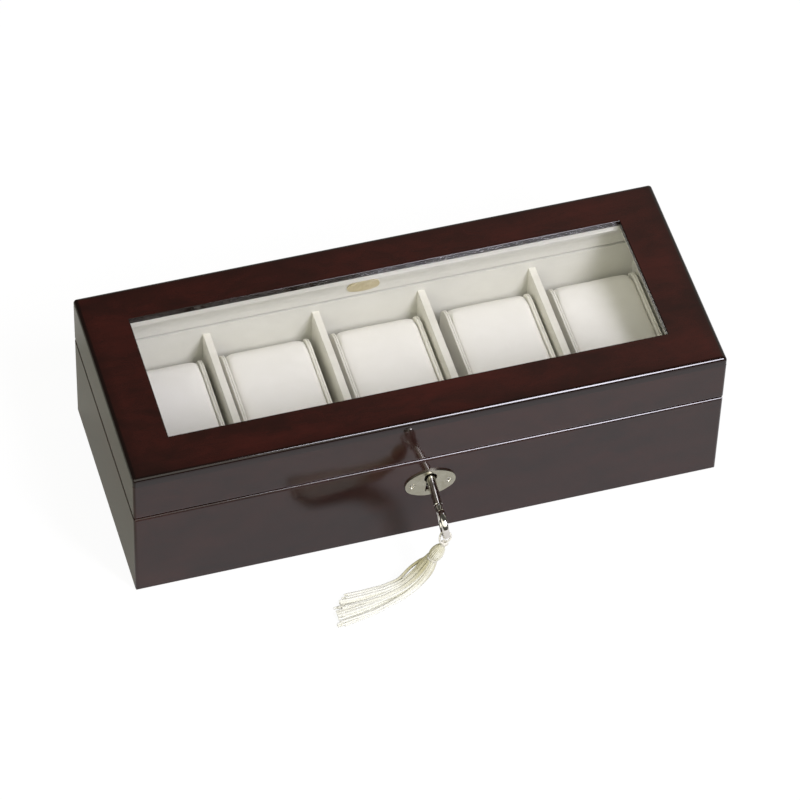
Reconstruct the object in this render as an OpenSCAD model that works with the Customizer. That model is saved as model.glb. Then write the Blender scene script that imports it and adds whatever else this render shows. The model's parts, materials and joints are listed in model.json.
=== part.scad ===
// Lacquered wooden watch box: glass window in the lid, five compartments with cuff pillows,
// a lock in the front board, and a key with a tassel.
// Millimetres. +X to the right along the front, +Y to the back, +Z up.
// The origin is at the middle of the underside, on the surface that the box stands on.

/* [Box] */
// Outside width
box_w = 320; // [300:1:390]
// Outside depth, front to back
box_d = 129; // [120:1:160]
// Height of the closed box with its felt
box_h = 91; // [84:0.5:112]
// Height of the middle of the gap between base and lid
seam_z = 59.5; // [56:0.5:66]
// Gap between the rims of base and lid
rim_gap = 0.8; // [0.4:0.1:1]
// Thickness of the boards
wall_t = 9.5; // [9.4:0.1:12]
// Thickness of the suede-covered lining boards
lining_t = 1.5; // [1:0.1:2.5]
// How far the linings stop short of the rims where the lid closes
lining_edge = 0.5; // [0:0.1:1]
// Thickness of the base panel
bottom_t = 5; // [3:0.5:8]
// Thickness of the felt under the base
felt_t = 1; // [0.5:0.1:2]
// How far the felt stays in from the outside
felt_inset = 2; // [1:0.5:5]
// Radius of the upright corners
corner_r = 1.5; // [0.5:0.1:4]
// Radius of the lid's top edges
top_edge_r = 2.5; // [1:0.1:4]
// Radius of the arris on both rims
arris_r = 1.5; // [0.3:0.1:1.5]
// Radius of the base's bottom edges
foot_edge_r = 1; // [0.3:0.1:2]

/* [Window] */
// Width of the lid's top frame at each side
rail_side = 25; // [18:0.5:40]
// Width of the top frame at the front
rail_front = 24.5; // [20:0.5:32]
// Width of the top frame at the back
rail_back = 22; // [18:0.5:32]
// Thickness of the top frame
frame_t = 5.5; // [5:0.1:9]
// Thickness of the glass
glass_t = 2; // [1.5:0.1:3]
// How far the glass reaches under the frame
glass_lap = 4.5; // [3:0.1:6]
// Play round the glass in its rebate
glass_play = 0.4; // [0.1:0.1:1]
// Height of the strips that hold the glass from below
retainer_h = 4; // [2:0.5:8]
// How far those strips stay back from the window's edge
retainer_setback = 1.5; // [0.5:0.1:3]

/* [Compartments] */
// Thickness of a divider
divider_t = 4; // [3:0.1:6]
// How far the dividers' tops lie below the seam
divider_drop = 6; // [3:0.5:15]
// Height of a pillow at its crown
pillow_h = 38; // [30:0.5:48]
// Mean gap at each side of a pillow
pillow_side_gap = 3.7; // [3.5:0.1:6]
// Gap behind a pillow
pillow_back_gap = 3.5; // [1:0.5:10]
// Gap in front of a pillow
pillow_front_gap = 19.5; // [5:0.5:30]
// Corner radius of a pillow seen from its end
pillow_corner_r = 12; // [6:0.5:15]
// Thickness of a pillow's end panels
pillow_end_t = 2.4; // [1.5:0.1:4]
// How far the end panels stay inside the pillow's crowned outline
pillow_end_inset = 0.5; // [0.5:0.1:3]
// Gap under a pillow
pillow_seat_gap = 0.3; // [0.2:0.1:0.5]

/* [Lock] */
// How far the lock sits to the right of the middle
lock_x = -0.8; // [-5:0.1:5]
// How far the keyhole's round part lies below the seam
keyhole_drop = 14.7; // [14:0.1:17]
// Radius of the keyhole's round part
keyhole_r = 3.5; // [3.4:0.1:4]
// How far the keyhole's slot reaches below its round part's middle
keyhole_reach = 10.2; // [10:0.1:11]
// Width of the slot at its top
keyhole_slot_top = 3.8; // [3.6:0.1:5]
// Width of the slot at its bottom
keyhole_slot_low = 5.7; // [4:0.1:7]
// Width of the oval lock plate
plate_w = 27.5; // [26:0.5:34]
// Height of the oval lock plate
plate_h = 19; // [19:0.5:22]
// Thickness of the lock plate
plate_t = 1; // [0.6:0.1:1.5]
// How far the lock plate's middle lies below the keyhole's
plate_drop = 4.2; // [4:0.1:5]
// Distance between the lock plate's screws
plate_screw_gap = 20.2; // [20:0.1:24]
// Width of the lock case
case_w = 34; // [34:0.5:38]
// Depth of the lock case, front to back
case_d = 7.3; // [7.3:0.1:7.6]
// Thickness of the lock's sheet steel
sheet_t = 0.8; // [0.6:0.1:0.9]
// Length of the rim plate on the case and of the strike plate
rim_plate_w = 44; // [44:0.5:50]
// Thickness of the rim plate and of the strike plate
rim_plate_t = 1; // [0.8:0.1:1.4]
// How far the case reaches below the keyhole's middle
case_drop = 11; // [10.8:0.1:13]
// Radius of the keyed drum
drum_r = 6.6; // [6.2:0.1:6.6]
// Distance of the drum's driving pin from its axis
throw_r = 4.95; // [4.5:0.05:5]

/* [Key] */
// Radius of the shank
shank_r = 2.4; // [2:0.1:2.5]
// Length of the shank outside the lock, up to its collar
shank_out = 18; // [12:0.5:30]
// Distance of the ring bow's middle from the lock plate
bow_out = 30; // [26:0.5:36]
// Radius of the ring bow, outside
bow_r = 8; // [6:0.5:9]
// Thickness of the ring bow across its flat
bow_t = 3.2; // [3:0.1:5]
// Width of the ring bow's bar
bow_bar = 2.6; // [2:0.1:4]
// Reach of the bit from the shank's middle
bit_reach = 9; // [8:0.1:9.2]
// Thickness of the bit
bit_t = 2.2; // [1.5:0.1:2.4]
// How far the loose key leans to the left, in degrees
key_yaw = 3.5; // [0:0.5:4]
// How far the loose key is rolled in its slot, in degrees
key_roll = 5; // [0:0.5:5]
// How far the loose key droops, in degrees
key_droop = 4; // [0:0.5:5]

/* [Hinges] */
// Distance of each hinge's middle from the side of the box
hinge_inset = 60; // [30:1:100]
// Length of a hinge
hinge_len = 36; // [26:1:50]
// Radius of the barrel
barrel_r = 2.5; // [2.2:0.1:3.5]
// Radius of the pin
pin_r = 1.2; // [0.8:0.1:1.3]
// Radial clearance of the pin in the knuckles
pin_play = 0.05; // [0.02:0.01:0.1]
// Thickness of a leaf
leaf_t = 1.2; // [0.8:0.1:1.5]
// Width of a leaf on the rim
leaf_w = 8.2; // [6:0.1:8.4]

/* [Screws and badge] */
// Radius of the small screws' shanks
screw_r = 0.9; // [0.7:0.05:1.1]
// Radius of their heads
screw_head_r = 1.8; // [1.5:0.05:2]
// Length of the screws in the boards
screw_len = 8; // [5:0.5:10]
// Length of the oval badge
badge_w = 18; // [10:0.5:24]
// Height of the oval badge
badge_h = 7.5; // [5:0.5:12]
// Thickness of the badge
badge_t = 0.8; // [0.4:0.1:1.5]
// How far the badge sits to the right of the middle
badge_x = -4; // [-20:0.5:20]
// How far the badge's middle lies above the seam
badge_rise = 7.7; // [6:0.1:12]

/* [Tassel] */
// Radius of the tassel's cord
cord_r = 0.6; // [0.4:0.05:0.8]

/* [Hidden] */
$fn = 48;

cells = 5;
// Radius of an oval's end arcs, as a share of its height
oval_end = 0.375;
// Gap round what is let into wood, gap round a screw, and how far a cut runs past a face
face_gap = 0.1;
screw_play = 0.05;
past = 1;
recess_w = 0.4;
recess_depth = 0.6;

// The base and the lid
half_w = box_w / 2;
half_d = box_d / 2;
in_w = box_w - 2 * wall_t;
in_d = box_d - 2 * wall_t;
rim_z = seam_z - rim_gap / 2;
lid_z = seam_z + rim_gap / 2;
base_lining_top = rim_z - lining_edge;
lid_lining_low = lid_z + lining_edge;
panel_top = felt_t + bottom_t;
floor_z = panel_top + lining_t;
frame_z = box_h - frame_t;
strip_z = frame_z - retainer_h;
win_x = half_w - rail_side;
win_y0 = -half_d + rail_front;
win_y1 = half_d - rail_back;

// The compartments. The dividers and pillows were set by hand, so each is a little off its place.
cell_room_w = in_w - 2 * lining_t;
cell_room_d = in_d - 2 * lining_t;
cell_w = (cell_room_w - (cells - 1) * divider_t) / cells;
cell_pitch = cell_w + divider_t;
divider_top = seam_z - divider_drop;
divider_drift = [0, 0, -1.5, 0.5];
pillow_w = cell_w - 2 * pillow_side_gap;
pillow_d = cell_room_d - pillow_back_gap - pillow_front_gap;
pillow_y = (pillow_front_gap - pillow_back_gap) / 2;
pillow_z = floor_z + pillow_seat_gap;
pillow_drift = [1, -0.5, 0.5, 2.5, 2];

// The lock, from the front face inwards
case_y1 = -half_d + wall_t - face_gap;
case_y0 = case_y1 - case_d;
lock_y = case_y0 + sheet_t;
key_z = seam_z - keyhole_drop;
keyhole_play = 0.25;
plate_z = key_z - plate_drop;
case_z0 = key_z - case_drop;
case_z1 = rim_z - rim_plate_t;
drum_front = 0.2;
drum_t = 2.7;
drum_web = 0.6;
drum_bore_r = shank_r + 0.9;
drum_slot_w = bit_t + 2;
journal_r = 2.6;
bit_front = 0.5;
bit_len = 1.3;
key_tip = 1.9;
bolt_front = 3.2;
bolt_t = 1.2;
bolt_travel = 2 * throw_r * sin(45);
bolt_z0 = key_z + 3.1;
bolt_z1 = case_z1 - 1;
bolt_gap = 0.5;
bolt_rim = 0.9;
head_z0 = key_z + 6.7;
head_h = 2.6;
driver_r = 0.8;
driver_gap = 0.35;
driver_len = 1.7;
notch_top = key_z + throw_r + driver_r + driver_gap;
post_r = 0.8;
post_spacing = 6;
post_play = 0.3;
guide_z = bolt_z1 - 1.9;
staple_x = 9;
staple_t = 1.4;
staple_leg = 0.8;
staple_play = 0.3;
staple_foot = 1.1;
eye_play = 0.5;
slot_play = 0.2;
staple_y = lock_y + bolt_front + bolt_t / 2;
staple_half = bolt_t / 2 + staple_play + staple_leg;
slot_front_play = 1.1;
slot_back_play = 0.2;
slot_side_play = 0.6;
head_x1 = staple_x - bolt_gap;
bolt_x1 = head_x1 - bolt_travel;
post_x1 = bolt_x1 - bolt_rim - post_play - post_r;
post_x0 = post_x1 - post_spacing;
slot_x0 = post_x0 - post_r - post_play - bolt_travel;
bolt_x0 = slot_x0 - bolt_rim;
case_screw_x = rim_plate_w / 2 - 2.3;
strike_screw_x = 14;
strike_w = 2 * (strike_screw_x + 3);

// The key. It turns about the line through the keyhole, and leans from the lock plate's face.
pivot_depth = 0.2;
key_y = -half_d - plate_t + pivot_depth;
collar_t = 1.2;
collar_r = shank_r + 0.2;
neck_r = 2;
bar_round = 1.2;

// The hinges
hinge_x = half_w - hinge_inset;
knuckles = 5;
knuckle_pitch = hinge_len / knuckles;
knuckle_gap = 0.2;
barrel_gap = 0.3;
barrel_y = half_d + barrel_r + barrel_gap;
leaf_y1 = half_d - barrel_gap;
leaf_screw_x = hinge_len / 4;
leaf_screw_y = leaf_y1 - leaf_w / 2;
pin_head_r = pin_r + 0.5;
pin_head_t = 0.6;

// The tassel hangs from the ring bow and lies on the ground. Its points are measured from
// the middle of the lock, the key's pivot and the ground.
// The cord's route: out of the tassel's head, round the bow's bar, back into the head and
// on into the skirt
cord_sides = 8;
cord_route = [[-4.9, -34.6, 29.6], [-4, -34.6, 31.4], [-3, -34.6, 32.8], [-4.1, -34.6, 33.5],
    [-4.9, -34.7, 34.7], [-5, -34.7, 36.2], [-5, -34.4, 37.8], [-4.3, -33.6, 39.2],
    [-3.3, -33, 39.7], [-2, -32.9, 39.8], [-0.8, -32.9, 39.6], [0.3, -33.3, 39.1],
    [1.1, -34, 37.6], [1.1, -34.2, 36], [0.8, -34.3, 34.7], [-0.1, -34.4, 33.6],
    [-1.2, -34.5, 32.6], [-2.1, -34.5, 31.3], [-3.1, -34.4, 29.8], [-4.2, -34.4, 28],
    [-5.4, -34.2, 26.4], [-6.5, -34, 24.6], [-7.5, -33.7, 22.6], [-8.8, -33.5, 20.4],
    [-10.6, -33.4, 18], [-12.6, -33.5, 15.8], [-15.2, -33.9, 13.6]];
// The skirt of strands: the middle of each section, and half its width and height
skirt_sides = 12;
skirt_route = [[-8.2, -33.5, 21], [-12.7, -33.3, 15.2], [-19.2, -34.7, 10.2],
    [-29.2, -37.7, 6.8], [-41.2, -40.2, 4.6], [-52.2, -42.7, 3.6], [-61.2, -44.7, 3]];
skirt_half_w = [2.2, 4.4, 6.4, 8, 9.2, 10.2, 11];
skirt_half_h = [2.2, 3.6, 4, 3.6, 3.2, 2.8, 2.4];
head_top = [-4.8, -34.3, 28];
head_low = [-7, -33.9, 24];
head_top_r = 3.4;
head_low_r = 3.9;

function unit(v) = v / norm(v);
function tangent(p, i) = unit(p[min(i + 1, len(p) - 1)] - p[max(i - 1, 0)]);

// Points of one section of a swept tube: across is its sideways direction
function ring_points(middle, along, across, half_a, half_b, sides) =
    let (up = cross(along, across))
    [for (k = [0 : sides - 1])
        middle + half_a * cos(360 * k / sides) * across + half_b * sin(360 * k / sides) * up];

// Faces of a tube of closed sections, with both ends capped
function tube_faces(rings, sides) = concat(
    [for (i = [0 : rings - 2], k = [0 : sides - 1])
        let (a = i * sides + k, b = i * sides + (k + 1) % sides)
        [a, a + sides, b + sides, b]],
    [[for (k = [0 : sides - 1]) k]],
    [[for (k = [sides - 1 : -1 : 0]) (rings - 1) * sides + k]]);

// A box from its low corner to its high corner
module block(low, high) {
    translate(low) cube(high - low);
}

// A cylinder from y0 to y1 along Y
module rod_y(x, z, y0, y1, r) {
    translate([x, y0, z]) rotate([-90, 0, 0]) cylinder(h = y1 - y0, r = r);
}

// Outline of width w and height h from y = 0, with rounded low and high corners
module edge_outline(w, h, r_low, r_high) {
    translate([-w / 2, r_low]) square([w, h - r_low - r_high]);
    translate([-w / 2 + r_low, 0]) square([w - 2 * r_low, h / 2]);
    translate([-w / 2 + r_high, h / 2]) square([w - 2 * r_high, h / 2]);
    for (side = [-1, 1]) {
        translate([side * (w / 2 - r_low), r_low]) circle(r = r_low);
        translate([side * (w / 2 - r_high), h - r_high]) circle(r = r_high);
    }
}

// Outside form of the base or the lid seen from above, with the upright corners rounded
module plan_form(z0, z1) {
    translate([0, -half_d, z0]) linear_extrude(height = z1 - z0)
        edge_outline(box_w, box_d, corner_r, corner_r);
}

// The same form along X, with its low and high edges rounded
module long_form(z0, z1, r_low, r_high) {
    translate([0, 0, z0]) rotate([90, 0, 90])
        linear_extrude(height = box_w + 2 * past, center = true)
            edge_outline(box_d, z1 - z0, r_low, r_high);
}

// The same form along Y
module short_form(z0, z1, r_low, r_high) {
    translate([0, 0, z0]) rotate([90, 0, 0])
        linear_extrude(height = box_d + 2 * past, center = true)
            edge_outline(box_w, z1 - z0, r_low, r_high);
}

// Room that one mitred board takes up along the front or the back (side = -1 or 1)
module long_board_room(side, z0, z1) {
    translate([0, 0, z0]) linear_extrude(height = z1 - z0) polygon([
        [-half_w - past, side * (half_d + past)], [half_w + past, side * (half_d + past)],
        [half_w - wall_t, side * (half_d - wall_t)],
        [-half_w + wall_t, side * (half_d - wall_t)]]);
}

// Room that one mitred board takes up at the left or the right (side = -1 or 1)
module short_board_room(side, z0, z1) {
    translate([0, 0, z0]) linear_extrude(height = z1 - z0) polygon([
        [side * (half_w + past), -half_d - past], [side * (half_w + past), half_d + past],
        [side * (half_w - wall_t), half_d - wall_t],
        [side * (half_w - wall_t), -half_d + wall_t]]);
}

// A mitred board of the base (side = -1 or 1)
module long_base_board(side) {
    intersection() {
        plan_form(felt_t, rim_z);
        long_form(felt_t, rim_z, foot_edge_r, arris_r);
        long_board_room(side, 0, seam_z);
    }
}

module short_base_board(side) {
    intersection() {
        plan_form(felt_t, rim_z);
        short_form(felt_t, rim_z, foot_edge_r, arris_r);
        short_board_room(side, 0, seam_z);
    }
}

// A mitred board of the lid, up to the underside of the top frame
module long_lid_board(side) {
    intersection() {
        plan_form(lid_z, box_h);
        long_form(lid_z, box_h, arris_r, top_edge_r);
        long_board_room(side, 0, frame_z);
    }
}

module short_lid_board(side) {
    intersection() {
        plan_form(lid_z, box_h);
        short_form(lid_z, box_h, arris_r, top_edge_r);
        short_board_room(side, 0, frame_z);
    }
}

// An oval of four arcs, its end arcs of radius r
module oval(w, h, r) {
    a = w / 2;
    b = h / 2;
    big_r = (pow(a - r, 2) + b * b - r * r) / (2 * (b - r));
    split_x = big_r * (a - r) / (big_r - r);
    for (side = [-1, 1]) translate([side * (a - r), 0]) circle(r = r);
    intersection() {
        translate([0, b - big_r]) circle(r = big_r);
        translate([0, big_r - b]) circle(r = big_r);
        square([2 * split_x, h], center = true);
    }
}

// The keyhole's outline, grown by extra all round
module keyhole_outline(extra) {
    circle(r = keyhole_r + extra);
    polygon([[-keyhole_slot_top / 2 - extra, 0], [keyhole_slot_top / 2 + extra, 0],
        [keyhole_slot_low / 2 + extra, -keyhole_reach - extra],
        [-keyhole_slot_low / 2 - extra, -keyhole_reach - extra]]);
}

// The keyhole cut along Y between two depths
module keyhole_cut(y0, y1, extra) {
    translate([lock_x, y1, key_z]) rotate([90, 0, 0]) linear_extrude(height = y1 - y0)
        keyhole_outline(extra);
}

// A countersunk screw along -Z, its head flush with z = 0. grow makes it the hole for itself.
module countersunk(length, grow) {
    head_h = screw_head_r - screw_r;
    translate([0, 0, -head_h - grow]) cylinder(h = head_h + grow, r1 = screw_r + grow,
        r2 = screw_head_r + grow);
    translate([0, 0, -length - grow]) cylinder(h = length, r = screw_r + grow);
}

// A cross recess in a screw head, cut down from z = 0
module cross_recess() {
    for (turn = [0, 90]) rotate([0, 0, turn])
        cube([screw_head_r * 1.2, recess_w, 2 * recess_depth], center = true);
}

module recessed_screw(length) {
    difference() {
        countersunk(length, 0);
        cross_recess();
    }
}

// Places on the rims: children stand with +Z out of the rim
module at_hinge_screws(z, turn) {
    for (side = [-1, 1], end = [-1, 1])
        translate([side * hinge_x + end * leaf_screw_x, leaf_screw_y, z])
            rotate([turn, 0, 0]) children();
}

module at_lock_screws(x, z, turn) {
    for (side = [-1, 1])
        translate([lock_x + side * x, (case_y0 + case_y1) / 2, z])
            rotate([turn, 0, 0]) children();
}

module at_plate_screws() {
    for (side = [-1, 1])
        translate([lock_x + side * plate_screw_gap / 2, -half_d - plate_t, plate_z])
            rotate([90, 0, 0]) children();
}

// Recess for the hinge leaves, cut into a rim between z0 and z1
module leaf_recess(z0, z1) {
    for (side = [-1, 1])
        block([side * hinge_x - hinge_len / 2 - face_gap, leaf_y1 - leaf_w - face_gap, z0],
            [side * hinge_x + hinge_len / 2 + face_gap, half_d + past, z1]);
}

module base_front_board() {
    color("#4a3230") difference() {
        long_base_board(-1);
        block([lock_x - case_w / 2 - face_gap, case_y0 - face_gap, case_z0 - face_gap],
            [lock_x + case_w / 2 + face_gap, -half_d + wall_t + past, seam_z]);
        block([lock_x - rim_plate_w / 2 - face_gap, case_y0 - face_gap, case_z1],
            [lock_x + rim_plate_w / 2 + face_gap, -half_d + wall_t + past, seam_z]);
        keyhole_cut(-half_d - past, case_y0 + past, keyhole_play);
        at_plate_screws() countersunk(lock_plate_screw_len(), screw_play);
        at_lock_screws(case_screw_x, rim_z, 0) countersunk(screw_len, screw_play);
    }
}

module base_back_board() {
    color("#4a3230") difference() {
        long_base_board(1);
        leaf_recess(rim_z - leaf_t, seam_z);
        at_hinge_screws(rim_z, 0) countersunk(screw_len, screw_play);
    }
}

module base_left_board() {
    color("#4a3230") short_base_board(-1);
}

module base_right_board() {
    color("#4a3230") short_base_board(1);
}

module base_panel() {
    color("#5a4038") block([-in_w / 2, -in_d / 2, felt_t], [in_w / 2, in_d / 2, panel_top]);
}

module base_felt() {
    color("#2a2326") linear_extrude(height = felt_t)
        square([box_w - 2 * felt_inset, box_d - 2 * felt_inset], center = true);
}

module floor_lining() {
    color("#d6d4c8") block([-cell_room_w / 2, -cell_room_d / 2, panel_top],
        [cell_room_w / 2, cell_room_d / 2, floor_z]);
}

// A lining along the front or the back, full inside width
module long_lining(side, z0, z1) {
    color("#d6d4c8") translate([0, side * (in_d - lining_t) / 2, (z0 + z1) / 2])
        cube([in_w, lining_t, z1 - z0], center = true);
}

// A lining at the left or the right, between the long ones
module short_lining(side, z0, z1) {
    color("#d6d4c8") translate([side * (in_w - lining_t) / 2, 0, (z0 + z1) / 2])
        cube([lining_t, cell_room_d, z1 - z0], center = true);
}

module base_front_lining() { long_lining(-1, panel_top, base_lining_top); }

module base_back_lining() { long_lining(1, panel_top, base_lining_top); }

module base_left_lining() { short_lining(-1, panel_top, base_lining_top); }

module base_right_lining() { short_lining(1, panel_top, base_lining_top); }

module divider(i) {
    x = (i - (cells - 2) / 2) * cell_pitch + divider_drift[i];
    color("#d2cfc2") translate([x, 0, (floor_z + divider_top) / 2])
        cube([divider_t, cell_room_d, divider_top - floor_z], center = true);
}

module divider_1() { divider(0); }

module divider_2() { divider(1); }

module divider_3() { divider(2); }

module divider_4() { divider(3); }

// A pillow's section across Y and Z, its corners rounded, standing on y = 0
module pillow_section(inset) {
    edge_outline(pillow_d - 2 * inset, pillow_h - inset, pillow_corner_r - inset,
        pillow_corner_r - inset);
}

// Places child solids in a compartment, with X along the pillow and Z up from its seat
module in_cell(i) {
    translate([(i - (cells - 1) / 2) * cell_pitch + pillow_drift[i], pillow_y, pillow_z])
        children();
}

module pillow(i) {
    color("#e2e1dc") in_cell(i) rotate([90, 0, 90])
        linear_extrude(height = pillow_w - 2 * pillow_end_t, center = true) pillow_section(0);
}

module pillow_ends(i) {
    color("#d8d6ca") in_cell(i) for (side = [-1, 1])
        translate([side * (pillow_w - pillow_end_t) / 2, 0, 0]) rotate([90, 0, 90])
            linear_extrude(height = pillow_end_t, center = true)
                pillow_section(pillow_end_inset);
}

module pillow_1() { pillow(0); }

module pillow_2() { pillow(1); }

module pillow_3() { pillow(2); }

module pillow_4() { pillow(3); }

module pillow_5() { pillow(4); }

module pillow_ends_1() { pillow_ends(0); }

module pillow_ends_2() { pillow_ends(1); }

module pillow_ends_3() { pillow_ends(2); }

module pillow_ends_4() { pillow_ends(3); }

module pillow_ends_5() { pillow_ends(4); }

module lid_front_board() {
    color("#4a3230") difference() {
        long_lid_board(-1);
        block([lock_x - strike_w / 2 - face_gap, case_y0 - face_gap, seam_z],
            [lock_x + strike_w / 2 + face_gap, -half_d + wall_t + past, lid_z + rim_plate_t]);
        at_lock_screws(strike_screw_x, lid_z, 180) countersunk(screw_len, screw_play);
    }
}

module lid_back_board() {
    color("#4a3230") difference() {
        long_lid_board(1);
        leaf_recess(seam_z, lid_z + leaf_t);
        at_hinge_screws(lid_z, 180) countersunk(screw_len, screw_play);
    }
}

module lid_left_board() {
    color("#4a3230") short_lid_board(-1);
}

module lid_right_board() {
    color("#4a3230") short_lid_board(1);
}

// The top frame, with the window and the rebate that the glass lies in from below
module lid_frame() {
    lap = glass_lap + glass_play;
    color("#3a1c18") difference() {
        intersection() {
            plan_form(lid_z, box_h);
            long_form(lid_z, box_h, arris_r, top_edge_r);
            short_form(lid_z, box_h, arris_r, top_edge_r);
            block([-half_w - past, -half_d - past, frame_z],
                [half_w + past, half_d + past, box_h + past]);
        }
        block([-win_x, win_y0, frame_z - past], [win_x, win_y1, box_h + past]);
        block([-win_x - lap, win_y0 - lap, frame_z - past],
            [win_x + lap, win_y1 + lap, frame_z + glass_t]);
    }
}

module glass_pane() {
    color([0.8, 0.9, 0.88, 0.35]) block([-win_x - glass_lap, win_y0 - glass_lap, frame_z],
        [win_x + glass_lap, win_y1 + glass_lap, frame_z + glass_t]);
}

module glass_strip_front() {
    color("#d2cfc2") block([-in_w / 2, -in_d / 2, strip_z],
        [in_w / 2, win_y0 - retainer_setback, frame_z]);
}

module glass_strip_back() {
    color("#d2cfc2") block([-in_w / 2, win_y1 + retainer_setback, strip_z],
        [in_w / 2, in_d / 2, frame_z]);
}

// A strip at the left or the right, between the long ones
module glass_strip_side(side) {
    inner_x = win_x + retainer_setback;
    color("#d2cfc2") block([min(side * inner_x, side * in_w / 2), win_y0 - retainer_setback,
        strip_z], [max(side * inner_x, side * in_w / 2), win_y1 + retainer_setback, frame_z]);
}

module glass_strip_left() { glass_strip_side(-1); }

module glass_strip_right() { glass_strip_side(1); }

module lid_front_lining() { long_lining(-1, lid_lining_low, strip_z); }

module lid_back_lining() { long_lining(1, lid_lining_low, strip_z); }

module lid_left_lining() { short_lining(-1, lid_lining_low, strip_z); }

module lid_right_lining() { short_lining(1, lid_lining_low, strip_z); }

module badge() {
    color("#a89a7c") translate([badge_x, cell_room_d / 2, seam_z + badge_rise])
        rotate([90, 0, 0]) linear_extrude(height = badge_t) oval(badge_w, badge_h, badge_h * oval_end);
}

module lock_plate() {
    color("#a9a9a2") difference() {
        translate([lock_x, -half_d, plate_z]) rotate([90, 0, 0])
            linear_extrude(height = plate_t) oval(plate_w, plate_h, plate_h * oval_end);
        keyhole_cut(-half_d - plate_t - past, -half_d + past, 0);
        at_plate_screws() countersunk(lock_plate_screw_len(), screw_play);
    }
}

// The plate's screws run through the board into the front of the lock case
function lock_plate_screw_len() = plate_t + half_d + lock_y - 2 * screw_play;

module lock_plate_screws() {
    color("#c4c4bd") at_plate_screws() recessed_screw(lock_plate_screw_len());
}

// A pressed case, open at the back, with the rim plate as its top
module lock_case() {
    color("#8f8f8c") difference() {
        union() {
            block([lock_x - case_w / 2, case_y0, case_z0],
                [lock_x + case_w / 2, case_y1, case_z1]);
            block([lock_x - rim_plate_w / 2, case_y0, case_z1],
                [lock_x + rim_plate_w / 2, case_y1, rim_z]);
        }
        block([lock_x - case_w / 2 + sheet_t, lock_y, case_z0 + sheet_t],
            [lock_x + case_w / 2 - sheet_t, case_y1 + past, case_z1]);
        block([lock_x + staple_x - slot_side_play, staple_y - staple_half - slot_front_play,
            case_z1 - past], [lock_x + staple_x + staple_t + slot_side_play,
            staple_y + staple_half + slot_back_play, rim_z + past]);
        keyhole_cut(case_y0 - past, lock_y + past / 2, 0);
        at_plate_screws() countersunk(lock_plate_screw_len() + past, screw_play);
        at_lock_screws(case_screw_x, rim_z, 0) countersunk(screw_len, screw_play);
    }
}

// The cover closes the case at the back. It carries the drum and the bolt's two guide posts.
module lock_cover() {
    color("#9b9b97") {
        difference() {
            block([lock_x - case_w / 2 + sheet_t + face_gap, case_y1 - sheet_t,
                case_z0 + sheet_t + face_gap], [lock_x + case_w / 2 - sheet_t - face_gap,
                case_y1, case_z1 - face_gap]);
            rod_y(lock_x, key_z, case_y1 - sheet_t - past, case_y1 + past,
                journal_r + pin_play);
        }
        for (x = [post_x0, post_x1])
            rod_y(lock_x + x, guide_z, lock_y + bolt_front - post_play, case_y1 - sheet_t,
                post_r);
    }
}

module lock_screws() {
    color("#b5b5ae") at_lock_screws(case_screw_x, rim_z, 0) recessed_screw(screw_len);
}

// The drum that the key's bit turns. Its driving pin starts up and to the left.
module lock_drum() {
    y0 = lock_y + drum_front;
    y1 = y0 + drum_t;
    color("#b09a5a") {
        difference() {
            rod_y(lock_x, key_z, y0, y1, drum_r);
            rod_y(lock_x, key_z, y0 - past, y1 - drum_web, drum_bore_r);
            block([lock_x - drum_slot_w / 2, y0 - past, key_z - drum_r - past],
                [lock_x + drum_slot_w / 2, y1 - drum_web, key_z]);
            block([lock_x - drum_slot_w / 2, y0 - past, key_z - drum_r - past],
                [lock_x + drum_slot_w / 2, y1 + past, key_z - drum_bore_r]);
        }
        rod_y(lock_x, key_z, y1 - drum_web / 2, case_y1 - face_gap, journal_r);
        rod_y(lock_x - throw_r * sin(45), key_z + throw_r * cos(45), y1 - drum_web / 2,
            y1 + driver_len, driver_r);
    }
}

// The bolt's outline in X and Z, with its notch for the driving pin and its guide slot
module bolt_outline() {
    slot_x1 = bolt_x1 - bolt_rim;
    slot_h = 2 * (post_r + slot_play);
    difference() {
        union() {
            translate([bolt_x0, bolt_z0]) square([bolt_x1 - bolt_x0, bolt_z1 - bolt_z0]);
            translate([bolt_x1 - past, head_z0]) square([head_x1 - bolt_x1 + past, head_h]);
        }
        translate([-throw_r * sin(45) - driver_r - driver_gap, bolt_z0 - past])
            square([2 * (driver_r + driver_gap), notch_top - bolt_z0 + past]);
        translate([slot_x0, guide_z - slot_h / 2]) square([slot_x1 - slot_x0, slot_h]);
    }
}

module lock_bolt() {
    color("#b09a5a") translate([lock_x, lock_y + bolt_front + bolt_t, 0]) rotate([90, 0, 0])
        linear_extrude(height = bolt_t) bolt_outline();
}

// The strike plate in the lid's rim, with the staple that the bolt passes through
module strike_plate() {
    staple_low = head_z0 - eye_play - staple_foot;
    eye_half = bolt_t / 2 + staple_play;
    color("#8f8f8c") difference() {
        union() {
            block([lock_x - strike_w / 2, case_y0, lid_z],
                [lock_x + strike_w / 2, case_y1, lid_z + rim_plate_t]);
            block([lock_x + staple_x, staple_y - staple_half, staple_low],
                [lock_x + staple_x + staple_t, staple_y + staple_half, lid_z + rim_plate_t]);
        }
        block([lock_x + staple_x - past, staple_y - eye_half, staple_low + staple_foot],
            [lock_x + staple_x + staple_t + past, staple_y + eye_half,
            head_z0 + head_h + eye_play]);
        at_lock_screws(strike_screw_x, lid_z, 180) countersunk(screw_len, screw_play);
    }
}

module strike_screws() {
    color("#b5b5ae") at_lock_screws(strike_screw_x, lid_z, 180) recessed_screw(screw_len);
}

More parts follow.
